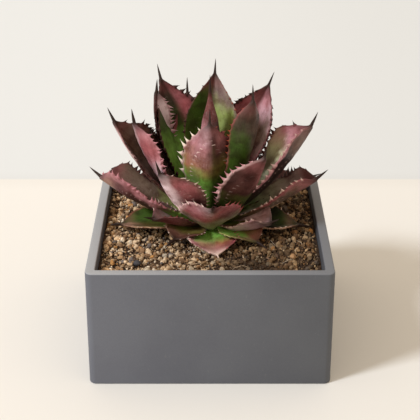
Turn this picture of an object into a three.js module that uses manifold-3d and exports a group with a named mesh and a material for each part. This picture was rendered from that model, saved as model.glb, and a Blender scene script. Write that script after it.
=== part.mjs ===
// Potted burnt burgundy agave: a rosette of toothed leaves in a square cement pot.
// Millimetres, +Z up. The origin is the centre of the pot's underside and -Y is the front.
import * as THREE from 'three';
import { ConvexGeometry } from 'three/addons/geometries/ConvexGeometry.js';
import { mergeVertices } from 'three/addons/utils/BufferGeometryUtils.js';
import Module from 'manifold-3d';

const wasm = await Module();
wasm.setup();

// Driving sizes
const POT_WIDTH = 203;
const POT_HEIGHT = 104.5;
const WALL = 8;
const FLOOR_THICKNESS = 10;
const CORNER_RADIUS = 6;
const EDGE_ROUND = 1.2;
const SOIL_DEPTH_BELOW_RIM = 10.5;
const GAP = 0.3;

const soilLevel = POT_HEIGHT - SOIL_DEPTH_BELOW_RIM;
const innerWidth = POT_WIDTH - 2 * WALL;
const plantAxis = new THREE.Vector3(0, 6, 0);

// Stem: radius at the soil, height of its cone and the rooted shank under the soil
const STEM_RADIUS = 19;
const STEM_TAPER = 0.5;
const STEM_TOP_RADIUS = 3.5;
const ROOT_RADIUS = 13;
const ROOT_DEPTH = 32;
const ROOT_NECK_DEPTH = 3;
const COLLAR_HEIGHT = 1;
const stemTop = soilLevel + (STEM_RADIUS - STEM_TOP_RADIUS) / STEM_TAPER;

// Leaf curve and rows: how far its base is sunk towards the stem, and how strongly it leaves along its rise
const BASE_SUNK = 4;
const PULL = 0.55;
const BLADE_ROWS = 8;
const SPINE_ROWS = 2;
const ROW_CROWDING = 0.9;
const COLUMNS = [-1, -0.5, 0, 0.5, 1];

// Leaf outline: width at the base, widest place, and the powers that shape its shoulders
const FOOT_WIDTH_SHARE = 0.32;
const WIDEST_AT = 0.6;
const SHOULDER_POWER = 2.2;
const SHOULDER_SHARPNESS = 1.15;

// Leaf section: thickness, how much it thins, fold and the width of its crease
const MID_THICKNESS = 5;
const THINNING = 0.45;
const MARGIN_THICKNESS = 0.9;
const FOLD_AT_BASE = 0.75;
const FOLD_GAIN = 0.45;
const CREASE_AT_BASE = 0.3;
const CREASE_LOSS = 0.16;
const THICKEST_OF_WIDTH = 1.9;
const THICKEST_MARGIN = 0.6;

// Terminal spine
const SPINE_LENGTH = 13.5;
const SPINE_HALF_WIDTH = 1.55;
const SPINE_TAPER_LENGTH = 20;
const SPINE_TAPER_POWER = 0.8;
const SPINE_SETS_IN = 14;
const SPINE_FULL = 2;
const FLAT_FROM = 6;
const FLAT_TO = 3;

// Marginal teeth: how many stand between two rows of the section, and their size
const FIRST_TOOTHED_ROW = 2;
const TEETH_PER_ROW = 1;
const TOOTH_HEIGHT = 3.2;
const TOOTH_LENGTH = 3.2;
const TOOTH_SIZES = [0.75, 1.2];
const TOOTH_PLACES = [0.38, 0.62];
const TOOTH_LEANS = [-0.21, 0.39];
const TOOTH_ROOM = 0.3;

// Rings of leaves from the soil up: where they leave the stem and how deeply they fold
const RINGS = {
  low: { baseHeight: 99, baseRadius: 16, fold: 16 },
  spread: { baseHeight: 102, baseRadius: 15, fold: 30 },
  outer: { baseHeight: 104, baseRadius: 14, fold: 34 },
  middle: { baseHeight: 107, baseRadius: 13, fold: 31 },
  upper: { baseHeight: 110, baseRadius: 11, fold: 30 },
  inner: { baseHeight: 114, baseRadius: 9, fold: 31 },
};

// ring, place, angle at the stem, angle of the tip, reach, tip height, first rise, half width, own values.
// Angles are degrees round the plant's axis from +X, reach is the tip's distance from that axis.
const LEAVES = [
  ['low', 'front', -88, -83, 66, 95, 8, 21, { spine: 7 }],
  ['low', 'front_left', -128, -128, 63, 99, 8, 20, { lift: 3 }],
  ['low', 'front_right', -48, -47, 73, 99, 8, 21, { lift: 3 }],
  ['low', 'left', -170, -178, 92, 98, 10, 22],
  ['low', 'right', -10, -4, 91.5, 98, 10, 22],
  ['low', 'back_left', 152, 148, 92, 101, 10, 20, { lift: 3 }],
  ['low', 'back_right', 30, 34, 92, 101, 10, 20, { lift: 3 }],
  ['low', 'back', 90, 90, 80, 98, 10, 20],
  ['spread', 'front_left', -150, -150, 66, 120, 18, 21, { spine: 9 }],
  ['spread', 'front_right', -34, -28, 68, 118, 2, 23, { spine: 9, fold: 28, widest: 0.82, foot: 0.5 }],
  ['spread', 'front', -90, -88, 66, 146, 34, 28, { spine: 7, widest: 0.5, fold: 27 }],
  ['spread', 'back_left', 118, 118, 98, 112, 12, 22],
  ['spread', 'back_right', 66, 66, 98, 112, 12, 22],
  ['outer', 'left', 190, 171, 108, 146, 17, 25, { fold: 46, roll: -14, widest: 0.82, foot: 0.5 }],
  ['outer', 'right', 5, -2, 102.5, 152, 12, 22, { fold: 33, roll: -12, widest: 0.82, foot: 0.7 }],
  ['outer', 'back_left', 144, 142, 102, 121, 12, 24],
  ['outer', 'back_right', 35, 29, 117, 122, 11, 24],
  ['middle', 'front_left', -132, -133, 66, 179, 34, 29],
  ['middle', 'front_right', -48, -47, 68, 190, 38, 27, { spine: 8 }],
  ['middle', 'left', 166, 170, 90, 202, 34, 29, { roll: -14 }],
  ['middle', 'right', -2, 14, 97, 195, 34, 28, { fold: 36, roll: 11, widest: 0.8, foot: 0.45 }],
  ['middle', 'back_right', 58, 60, 84, 186, 38, 25],
  ['middle', 'back', 88, 86, 94, 165, 28, 26],
  ['middle', 'back_left', 112, 107, 70, 212, 48, 25],
  ['upper', 'left', -183, 183, 66.5, 208, 36, 25, { fold: 28, roll: 15, widest: 0.76, foot: 0.55 }],
  ['upper', 'front', -92, -90, 28, 218, 62, 26],
  ['upper', 'back_left', 130, 131, 71, 229, 54, 29],
  ['upper', 'back_right', 50, 32, 66, 228, 52, 27, { fold: 33, roll: 26, widest: 0.62, foot: 0.42 }],
  ['inner', 'left', 140, 160, 48, 227.5, 24, 10.5, { fold: 30, roll: -4, widest: 0.8, foot: 0.35 }],
  ['inner', 'right', -38, -28, 40, 235, 52, 17, { fold: 30, roll: -24, widest: 0.74, foot: 0.45 }],
  ['inner', 'back', 86, 76, 20, 245, 76, 27],
];

// Central bud of closed leaves: height above the origin and radius
const BUD_PROFILE = [
  [stemTop + GAP, 3.2],
  [140, 6.4],
  [158, 9.0],
  [180, 9.4],
  [198, 6.8],
  [212, 2.8],
  [219, 1.5],
  [229, 0.8],
  [237, 0],
];
const BUD_SIDES = 12;

// Loose stones that lie in the mix: position, half sizes, colour
const STONE_RISE = 0.35;
const STONES = [
  ['stone_dark', -61, -64, 3.6, 3.0, 2.8, 0x4d5156],
  ['stone_brown_right', 70, -52, 3.4, 2.8, 2.5, 0x8d5a33],
  ['stone_pale_left', -52, -76, 4.0, 3.2, 2.7, 0xbfb09a],
];

// Grit relief of the potting mix
const GRIT_CELLS = 24;
const GRIT_RELIEF = 2.8;
const GRIT_SHIFT = 0.55;
const GRIT_SUNK_SHARE = 0.65;
const GRIT_BLOCK_DEPTH = 160;
const GRIT_SEED = 41;
const TOOTH_SEED = 42;

const materials = {
  pot: new THREE.MeshStandardMaterial({ color: 0x6b6b6d, roughness: 0.75, metalness: 0 }),
  soil: new THREE.MeshStandardMaterial({ color: 0x8a6a4a, roughness: 0.95, metalness: 0 }),
  stem: new THREE.MeshStandardMaterial({ color: 0x6d7f48, roughness: 0.7, metalness: 0 }),
  leaf: new THREE.MeshStandardMaterial({ color: 0x7c4650, roughness: 0.5, metalness: 0 }),
  bud: new THREE.MeshStandardMaterial({ color: 0x9a7a63, roughness: 0.5, metalness: 0 }),
};

// Seeded random numbers between 0 and 1
function randomSource(seed) {
  let state = seed >>> 0;
  return () => {
    state = (Math.imul(state, 1664525) + 1013904223) >>> 0;
    return state / 4294967296;
  };
}

function between([low, high], share) {
  return low + (high - low) * share;
}

function radians(degrees) {
  return THREE.MathUtils.degToRad(degrees);
}

// Geometry with only its positions, shared by the faces that meet there
function mergedGeometry(geometry) {
  const bare = geometry.clone();
  bare.deleteAttribute('normal');
  bare.deleteAttribute('uv');
  return mergeVertices(bare, 1e-4);
}

// Closed solid of a geometry
function solidOf(geometry) {
  const merged = mergedGeometry(geometry);
  return new wasm.Manifold(new wasm.Mesh({
    numProp: 3,
    vertProperties: new Float32Array(merged.attributes.position.array),
    triVerts: new Uint32Array(merged.index.array),
  }));
}

// Geometry of a closed solid
function geometryOf(solid) {
  const mesh = solid.getMesh();
  const geometry = new THREE.BufferGeometry();
  geometry.setAttribute('position', new THREE.BufferAttribute(new Float32Array(mesh.vertProperties), 3));
  geometry.setIndex(new THREE.BufferAttribute(new Uint32Array(mesh.triVerts), 1));
  geometry.computeVertexNormals();
  return geometry;
}

function namedMesh(name, geometry, material) {
  const mesh = new THREE.Mesh(geometry, material);
  mesh.name = name;
  return mesh;
}

// Largest connected body of a solid
function mainBody(solid) {
  const bodies = solid.decompose();
  return bodies.reduce((best, body) => (body.volume() > best.volume() ? body : best));
}

function boxesMeet(a, b) {
  const first = a.boundingBox();
  const second = b.boundingBox();
  return [0, 1, 2].every((k) => first.min[k] <= second.max[k] && second.min[k] <= first.max[k]);
}

// Leaf: a quadratic curve from the stem to the tip, with a folded, thickened section along it
function leafPlan([ring, place, baseAngle, tipAngle, reach, tipHeight, rise, halfWidth, own = {}]) {
  const { baseHeight, baseRadius, fold } = RINGS[ring];
  const away = radians(baseAngle);
  const out = new THREE.Vector3(Math.cos(away), Math.sin(away), 0);
  const base = plantAxis.clone().addScaledVector(out, baseRadius - BASE_SUNK);
  base.z = baseHeight + (own.lift ?? 0);
  const tip = plantAxis.clone();
  tip.x += reach * Math.cos(radians(tipAngle));
  tip.y += reach * Math.sin(radians(tipAngle));
  tip.z = tipHeight;
  const pull = PULL * base.distanceTo(tip);
  const bend = base.clone().addScaledVector(out, pull * Math.cos(radians(rise)));
  bend.z += pull * Math.sin(radians(rise));
  const curve = new THREE.QuadraticBezierCurve3(base, bend, tip);
  const length = curve.getLength();
  return {
    name: `leaf_${ring}_${place}`,
    curve,
    length,
    bladeLength: length - (own.spine ?? SPINE_LENGTH),
    side: new THREE.Vector3(-Math.sin(away), Math.cos(away), 0),
    halfWidth,
    fold: radians(own.fold ?? fold),
    roll: radians(own.roll ?? 0),
    widest: own.widest ?? WIDEST_AT,
    foot: own.foot ?? FOOT_WIDTH_SHARE,
  };
}

// Share of the half width at a share of the blade's length
function widthShare({ widest, foot }, share) {
  if (share < widest) {
    return between([foot, 1], THREE.MathUtils.smoothstep(share, 0, widest));
  }
  const beyond = Math.min((share - widest) / (1 - widest), 1);
  return Math.pow(1 - Math.pow(beyond, SHOULDER_POWER), SHOULDER_SHARPNESS);
}

// Frame and section sizes of a leaf at a distance along it
function leafStation(leaf, distance) {
  const share = Math.min(distance / leaf.length, 1);
  const along = distance / leaf.bladeLength;
  const tangent = leaf.curve.getTangentAt(share);
  const across = leaf.side.clone().addScaledVector(tangent, -tangent.dot(leaf.side)).normalize();
  const roll = leaf.roll * THREE.MathUtils.smoothstep(share, 0.1, 1);
  across.applyAxisAngle(tangent, roll);
  const up = new THREE.Vector3().crossVectors(tangent, across);
  const left = Math.max(leaf.length - distance, 0);
  const spine = SPINE_HALF_WIDTH * Math.pow(left / SPINE_TAPER_LENGTH, SPINE_TAPER_POWER)
    * THREE.MathUtils.smoothstep(distance, leaf.bladeLength - SPINE_SETS_IN, leaf.bladeLength - SPINE_FULL);
  const halfWidth = Math.hypot(leaf.halfWidth * widthShare(leaf, along), spine);
  const swell = MID_THICKNESS * (1 - THINNING * THREE.MathUtils.smoothstep(along, 0.1, 0.95));
  const flatFrom = leaf.bladeLength - FLAT_FROM;
  const flat = 1 - THREE.MathUtils.smoothstep(distance, flatFrom, leaf.bladeLength + FLAT_TO);
  return {
    centre: leaf.curve.getPointAt(share),
    tangent,
    across,
    up,
    halfWidth,
    thickness: Math.min(swell, THICKEST_OF_WIDTH * halfWidth),
    fold: leaf.fold * flat * (FOLD_AT_BASE + FOLD_GAIN * THREE.MathUtils.smoothstep(along, 0.2, 0.95)),
    crease: CREASE_AT_BASE - CREASE_LOSS * THREE.MathUtils.smoothstep(along, 0.2, 0.9),
    roundness: 1 - flat,
  };
}

// Upper and lower points of a leaf's section, grown by a margin all round
function sectionPoints(station, column, grow) {
  const { centre, across, up, halfWidth, thickness, fold, crease, roundness } = station;
  const bow = Math.hypot(column, crease);
  const slope = Math.sin(fold) * (column / bow);
  const run = Math.cos(fold);
  const tilt = Math.hypot(run, slope);
  const normal = up.clone().multiplyScalar(run / tilt).addScaledVector(across, -slope / tilt);
  const wide = halfWidth + grow;
  const upper = centre.clone()
    .addScaledVector(across, wide * column * run)
    .addScaledVector(up, halfWidth * Math.sin(fold) * (bow - crease));
  const edge = Math.min(MARGIN_THICKNESS, THICKEST_MARGIN * thickness);
  const depth = edge + (thickness - edge) * (1 - column * column);
  const lower = upper.clone().addScaledVector(normal, -depth - grow);
  const crown = 0.5 * roundness * thickness * Math.sqrt(1 - column * column);
  upper.addScaledVector(up, crown).addScaledVector(normal, grow);
  return [upper, lower];
}

// Distances of a leaf's rows: even along the blade, then along the spine
function rowDistances(leaf) {
  const rows = [];
  for (let row = 0; row < BLADE_ROWS; row += 1) {
    rows.push(leaf.bladeLength * Math.pow(row / BLADE_ROWS, ROW_CROWDING));
  }
  const spineStart = leaf.bladeLength - 1;
  for (let row = 0; row < SPINE_ROWS; row += 1) {
    rows.push(spineStart + (leaf.length - spineStart) * (row / SPINE_ROWS));
  }
  return rows;
}

// Teeth of a leaf between two rows on one side: roots on the margin and a sharp point outside it
function plannedTeeth(leaf, random) {
  const rows = rowDistances(leaf);
  const teeth = [];
  for (const side of [-1, 1]) {
    for (let row = FIRST_TOOTHED_ROW; row < BLADE_ROWS; row += 1) {
      const room = (rows[row + 1] - rows[row]) / TEETH_PER_ROW;
      for (let tooth = 0; tooth < TEETH_PER_ROW; tooth += 1) {
        const middle = rows[row] + room * (tooth + between(TOOTH_PLACES, random()));
        const size = between(TOOTH_SIZES, random());
        const half = Math.min(0.5 * TOOTH_LENGTH * size, TOOTH_ROOM * room);
        const station = leafStation(leaf, middle);
        const [inner] = sectionPoints(station, 0.9 * side, 0);
        const [upper, lower] = sectionPoints(station, side, 0);
        const outward = upper.clone().sub(inner).normalize();
        outward.addScaledVector(station.tangent, between(TOOTH_LEANS, random())).normalize();
        const point = upper.clone().lerp(lower, 0.5).addScaledVector(outward, TOOTH_HEIGHT * size);
        teeth.push({ side, row, from: middle - half, to: middle + half, point });
      }
    }
  }
  return teeth;
}

// A tooth alone, to see what it would run into
function toothSolid(leaf, tooth) {
  const roots = [tooth.from, tooth.to].flatMap(
    (distance) => sectionPoints(leafStation(leaf, distance), tooth.side, 0),
  );
  return solidOf(new ConvexGeometry([...roots, tooth.point]));
}

// Blade with its terminal spine and teeth as one closed solid
function bladeSolid(leaf, grow, teeth = []) {
  const points = [];
  const index = [];
  const rows = rowDistances(leaf);
  const width = COLUMNS.length;
  const addPair = (distance, column) => {
    const [upper, lower] = sectionPoints(leafStation(leaf, distance), column, grow);
    points.push(upper, lower);
    return { upper: points.length - 2, lower: points.length - 1 };
  };
  // Faces of the upper and the lower side are split alike, the lower ones turned over
  const face = (a, b, c) => {
    index.push(a.upper, b.upper, c.upper, a.lower, c.lower, b.lower);
  };
  const wall = (a, b) => {
    index.push(a.upper, b.upper, b.lower, a.upper, b.lower, a.lower);
  };
  const grid = rows.map((distance) => COLUMNS.map((column) => addPair(distance, column)));

  for (let row = 0; row + 1 < rows.length; row += 1) {
    const here = grid[row];
    const next = grid[row + 1];
    for (let column = 1; column + 2 < width; column += 1) {
      face(here[column], next[column], next[column + 1]);
      face(here[column], next[column + 1], here[column + 1]);
    }
    for (const side of [-1, 1]) {
      const [rim, inner] = side < 0 ? [0, 1] : [width - 1, width - 2];
      const own = teeth.filter((tooth) => tooth.side === side && tooth.row === row);
      const chain = [here[rim]];
      for (const tooth of own) {
        chain.push(addPair(tooth.from, side), addPair(tooth.to, side));
      }
      chain.push(next[rim]);
      const turn = (a, b, c) => (side < 0 ? face(a, b, c) : face(a, c, b));
      const middle = Math.floor(chain.length / 2);
      for (let link = 0; link + 1 < chain.length; link += 1) {
        turn(link < middle ? here[inner] : next[inner], chain[link], chain[link + 1]);
        const toothed = own[(link - 1) / 2];
        const [a, b] = side < 0 ? [chain[link + 1], chain[link]] : [chain[link], chain[link + 1]];
        if (toothed === undefined) {
          wall(a, b);
        } else {
          points.push(toothed.point);
          const tip = points.length - 1;
          index.push(a.upper, b.upper, tip, b.upper, b.lower, tip);
          index.push(b.lower, a.lower, tip, a.lower, a.upper, tip);
        }
      }
      turn(here[inner], chain[middle], next[inner]);
    }
  }

  const end = leafStation(leaf, leaf.length);
  points.push(end.centre.clone().addScaledVector(end.tangent, grow));
  const tip = points.length - 1;
  const first = grid[0];
  const last = grid[rows.length - 1];
  for (let column = 0; column + 1 < width; column += 1) {
    index.push(first[column].upper, first[column + 1].upper, first[column + 1].lower);
    index.push(first[column].upper, first[column + 1].lower, first[column].lower);
    index.push(last[column + 1].upper, last[column].upper, tip);
    index.push(last[column].lower, last[column + 1].lower, tip);
  }
  index.push(last[0].upper, last[0].lower, tip);
  index.push(last[width - 1].lower, last[width - 1].upper, tip);
  const geometry = new THREE.BufferGeometry().setFromPoints(points);
  geometry.setIndex(index);
  return solidOf(geometry);
}

// Stem: a short cone on a rooted shank
function stemGeometry(grow) {
  const profile = [
    [0, soilLevel - ROOT_DEPTH - grow],
    [ROOT_RADIUS + grow, soilLevel - ROOT_DEPTH - grow],
    [ROOT_RADIUS + grow, soilLevel - ROOT_NECK_DEPTH],
    [STEM_RADIUS + grow, soilLevel + COLLAR_HEIGHT],
    [STEM_TOP_RADIUS + grow, stemTop + grow],
    [0, stemTop + grow],
  ];
  const geometry = new THREE.LatheGeometry(profile.map(([r, z]) => new THREE.Vector2(r, z)), 12);
  geometry.rotateX(Math.PI / 2);
  geometry.translate(plantAxis.x, plantAxis.y, 0);
  return geometry;
}

function budGeometry(grow) {
  const profile = BUD_PROFILE.map(([z, r]) => new THREE.Vector2(r > 0 ? r + grow : 0, z));
  profile.unshift(new THREE.Vector2(0, BUD_PROFILE[0][0]));
  const geometry = new THREE.LatheGeometry(profile, BUD_SIDES);
  geometry.rotateX(Math.PI / 2);
  geometry.translate(plantAxis.x, plantAxis.y, 0);
  return geometry;
}

function roundedSquare(width, radius) {
  const half = width / 2;
  const shape = new THREE.Shape();
  shape.moveTo(-half + radius, -half);
  shape.lineTo(half - radius, -half);
  shape.absarc(half - radius, -half + radius, radius, -Math.PI / 2, 0);
  shape.lineTo(half, half - radius);
  shape.absarc(half - radius, half - radius, radius, 0, Math.PI / 2);
  shape.lineTo(-half + radius, half);
  shape.absarc(-half + radius, half - radius, radius, Math.PI / 2, Math.PI);
  shape.lineTo(-half, -half + radius);
  shape.absarc(-half + radius, -half + radius, radius, Math.PI, 1.5 * Math.PI);
  return shape;
}

// Pot: a rounded square block with softened edges, hollowed from the rim down
function potSolid() {
  const outline = roundedSquare(POT_WIDTH - 2 * EDGE_ROUND, CORNER_RADIUS - EDGE_ROUND);
  const block = new THREE.ExtrudeGeometry(outline, {
    depth: POT_HEIGHT - 2 * EDGE_ROUND,
    bevelEnabled: true,
    bevelThickness: EDGE_ROUND,
    bevelSize: EDGE_ROUND,
    bevelSegments: 1,
    curveSegments: 3,
  });
  block.translate(0, 0, EDGE_ROUND);
  return solidOf(block).subtract(solidOf(cavityGeometry(innerWidth, FLOOR_THICKNESS, POT_HEIGHT + 5)));
}

function cavityGeometry(width, from, to) {
  const geometry = new THREE.ExtrudeGeometry(roundedSquare(width, CORNER_RADIUS - 2), {
    depth: to - from,
    bevelEnabled: false,
    curveSegments: 3,
  });
  geometry.translate(0, 0, from);
  return geometry;
}

// Upper surface of the mix as a block whose top is a seeded grit relief
function gritBlock() {
  const random = randomSource(GRIT_SEED);
  const span = innerWidth + 4;
  const geometry = new THREE.BoxGeometry(span, span, GRIT_BLOCK_DEPTH, GRIT_CELLS, GRIT_CELLS, 1);
  geometry.translate(0, 0, soilLevel - GRIT_BLOCK_DEPTH / 2);
  const merged = mergedGeometry(geometry);
  const position = merged.attributes.position;
  const shift = (GRIT_SHIFT * span) / GRIT_CELLS;
  for (let k = 0; k < position.count; k += 1) {
    if (position.getZ(k) > soilLevel - 1) {
      const inside = Math.max(Math.abs(position.getX(k)), Math.abs(position.getY(k))) < span / 2 - 1;
      position.setZ(k, soilLevel + GRIT_RELIEF * (random() - GRIT_SUNK_SHARE));
      if (inside) {
        position.setX(k, position.getX(k) + shift * (random() - 0.5));
        position.setY(k, position.getY(k) + shift * (random() - 0.5));
      }
    }
  }
  return solidOf(merged);
}

function stoneSolid([, x, y, a, b, c], grow) {
  const geometry = new THREE.IcosahedronGeometry(1, 1);
  geometry.scale(a + grow, b + grow, c + grow);
  geometry.rotateZ(x + y);
  geometry.translate(x, y, soilLevel + STONE_RISE * c);
  return solidOf(geometry);
}

// Teeth stand only where they are clear of the other leaves
const stemGrown = solidOf(stemGeometry(GAP));
const budGrown = solidOf(budGeometry(GAP));
const leaves = LEAVES.map(leafPlan);
const grownBlades = leaves.map((leaf) => bladeSolid(leaf, GAP));
const random = randomSource(TOOTH_SEED);
const standing = [];
const teethOf = leaves.map((leaf, order) => {
  const others = [...grownBlades.filter((_, other) => other !== order), stemGrown, budGrown];
  return plannedTeeth(leaf, random).filter((tooth) => {
    const solid = toothSolid(leaf, tooth);
    const clear = [...others, ...standing].every(
      (other) => !boxesMeet(solid, other) || solid.intersect(other).isEmpty(),
    );
    if (clear) standing.push(solid);
    return clear;
  });
});

// Leaves from the soil up. Each later leaf gives way to the leaves already there.
const toothedBlades = leaves.map((leaf, order) => bladeSolid(leaf, GAP, teethOf[order]));
const blades = leaves.map((leaf, order) => {
  let blade = bladeSolid(leaf, 0, teethOf[order]).subtract(stemGrown).subtract(budGrown);
  for (const older of toothedBlades.slice(0, order)) {
    if (boxesMeet(blade, older)) blade = blade.subtract(older);
  }
  return mainBody(blade);
});

const pot = potSolid();
const stones = STONES.map((stone) => stoneSolid(stone, 0));
let soil = gritBlock()
  .intersect(solidOf(cavityGeometry(innerWidth - 2 * GAP, FLOOR_THICKNESS + GAP, POT_HEIGHT)))
  .subtract(stemGrown);
for (const blade of toothedBlades) {
  if (boxesMeet(soil, blade)) soil = soil.subtract(blade);
}
for (const stone of STONES) {
  soil = soil.subtract(stoneSolid(stone, GAP));
}

const agave = new THREE.Group();
agave.add(namedMesh('pot', geometryOf(pot), materials.pot));
agave.add(namedMesh('soil', geometryOf(mainBody(soil)), materials.soil));
agave.add(namedMesh('stem', geometryOf(solidOf(stemGeometry(0))), materials.stem));
leaves.forEach((leaf, order) => {
  agave.add(namedMesh(leaf.name, geometryOf(blades[order]), materials.leaf));
});
agave.add(namedMesh('bud', geometryOf(solidOf(budGeometry(0))), materials.bud));
STONES.forEach(([name, , , , , , color], order) => {
  const material = new THREE.MeshStandardMaterial({ color, roughness: 0.85, metalness: 0 });
  agave.add(namedMesh(name, geometryOf(stones[order]), material));
});

export default agave;
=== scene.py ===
"""Potted burnt burgundy agave: fine leaves, gritty mix, cement pot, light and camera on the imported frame.

Lengths are worked out in millimetres, as in the part's source, and written to the meshes in metres.
"""
import math

import bmesh
import bpy
import numpy as np
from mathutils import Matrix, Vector


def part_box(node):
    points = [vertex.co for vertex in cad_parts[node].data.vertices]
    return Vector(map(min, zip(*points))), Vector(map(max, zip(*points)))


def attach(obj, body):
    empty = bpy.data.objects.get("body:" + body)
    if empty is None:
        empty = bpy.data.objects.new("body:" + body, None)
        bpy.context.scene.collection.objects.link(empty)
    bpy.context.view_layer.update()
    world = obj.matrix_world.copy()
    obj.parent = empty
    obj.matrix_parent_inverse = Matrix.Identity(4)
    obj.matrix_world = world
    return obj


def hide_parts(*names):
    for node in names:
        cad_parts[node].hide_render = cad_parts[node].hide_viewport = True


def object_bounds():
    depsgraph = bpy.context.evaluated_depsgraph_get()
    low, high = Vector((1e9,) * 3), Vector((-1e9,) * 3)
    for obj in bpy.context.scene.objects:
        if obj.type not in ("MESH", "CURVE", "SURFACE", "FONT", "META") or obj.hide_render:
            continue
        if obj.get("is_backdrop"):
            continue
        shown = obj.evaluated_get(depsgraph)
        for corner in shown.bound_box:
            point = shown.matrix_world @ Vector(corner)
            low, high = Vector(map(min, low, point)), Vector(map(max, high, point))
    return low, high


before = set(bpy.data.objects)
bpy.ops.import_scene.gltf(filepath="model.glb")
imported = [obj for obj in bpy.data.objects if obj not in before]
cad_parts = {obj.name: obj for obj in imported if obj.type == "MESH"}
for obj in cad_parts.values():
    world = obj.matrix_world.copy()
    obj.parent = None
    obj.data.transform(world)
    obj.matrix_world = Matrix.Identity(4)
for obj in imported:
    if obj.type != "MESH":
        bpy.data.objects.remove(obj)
cad_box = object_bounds()

BODY = "root"
MM = 0.001

# Pot and mix
POT_WIDTH = 203.0
POT_HEIGHT = 104.5
WALL = 8.0
FLOOR_THICKNESS = 10.0
CORNER_RADIUS = 6.0
EDGE_ROUND = 1.2
SOIL_LEVEL = 94.0
INNER_WIDTH = POT_WIDTH - 2 * WALL
PLANT_AXIS = np.array([0.0, 6.0, 0.0])

# Leaf form, as in the part's source
BASE_SUNK = 4.0
PULL = 0.55
FOOT_WIDTH_SHARE = 0.32
WIDEST_AT = 0.6
SHOULDER_POWER = 2.2
SHOULDER_SHARPNESS = 1.15
MID_THICKNESS = 5.0
THINNING = 0.45
MARGIN_THICKNESS = 0.9
FOLD_AT_BASE = 0.75
FOLD_GAIN = 0.45
CREASE_AT_BASE = 0.3
CREASE_LOSS = 0.16
THICKEST_OF_WIDTH = 1.9
THICKEST_MARGIN = 0.6
FLAT_FROM = 6.0
FLAT_TO = 3.0
SPINE_LENGTH = 13.5
SPINE_HALF_WIDTH = 1.55
SPINE_TAPER_LENGTH = 20.0
SPINE_TAPER_POWER = 0.8
SPINE_SETS_IN = 14.0
SPINE_FULL = 2.0
CURVE_STEPS = 401

# Rings of leaves: base height, base radius, fold in degrees
RINGS = {
    "low": (99, 16, 16),
    "spread": (102, 15, 30),
    "outer": (104, 14, 34),
    "middle": (107, 13, 31),
    "upper": (110, 11, 30),
    "inner": (114, 9, 31),
}

# Leaf tones, linear. The palest lilacs and pinks are partly the leaves' lilac bloom and partly painted
# light.
PALE_LILAC = (0.95, 0.74, 0.79)
LILAC = (0.60, 0.36, 0.40)
PALE_PINK = (0.68, 0.44, 0.43)
ROSE = (0.50, 0.215, 0.24)
RED_ROSE = (0.36, 0.095, 0.105)
BURGUNDY = (0.21, 0.064, 0.064)
WINE = (0.10, 0.036, 0.032)
BROWN = (0.135, 0.064, 0.044)
GREY_BROWN = (0.17, 0.115, 0.080)
GREY_PINK = (0.30, 0.21, 0.19)
TAN = (0.46, 0.28, 0.17)
APRICOT = (0.34, 0.135, 0.070)
OLIVE = (0.115, 0.092, 0.020)
SAGE = (0.27, 0.26, 0.16)
YELLOW_GREEN = (0.36, 0.38, 0.11)
LIME = (0.38, 0.47, 0.13)
PALE_GREEN = (0.62, 0.64, 0.36)
LEAF_GREEN = (0.21, 0.45, 0.070)
DEEP_GREEN = (0.052, 0.105, 0.013)
DARK_HORN = (0.030, 0.016, 0.012)
PALE_HORN = (0.72, 0.54, 0.46)
CREAM_HORN = (0.86, 0.74, 0.60)
RED_HORN = (0.24, 0.055, 0.045)
RUST = (0.30, 0.05, 0.02)
# Painted shade: the next two tones, a near-black green and a near-black red, are the shade on shaded halves
# of leaves.
PAINTED_SHADE_GREEN = (0.016, 0.018, 0.007)
PAINTED_SHADE_RED = (0.022, 0.010, 0.008)
DARK_WINE = (0.055, 0.021, 0.016)
MOSS = (0.055, 0.040, 0.024)
DARK_RED = (0.13, 0.016, 0.009)
BRIGHT_LILAC = (0.74, 0.50, 0.55)

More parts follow.
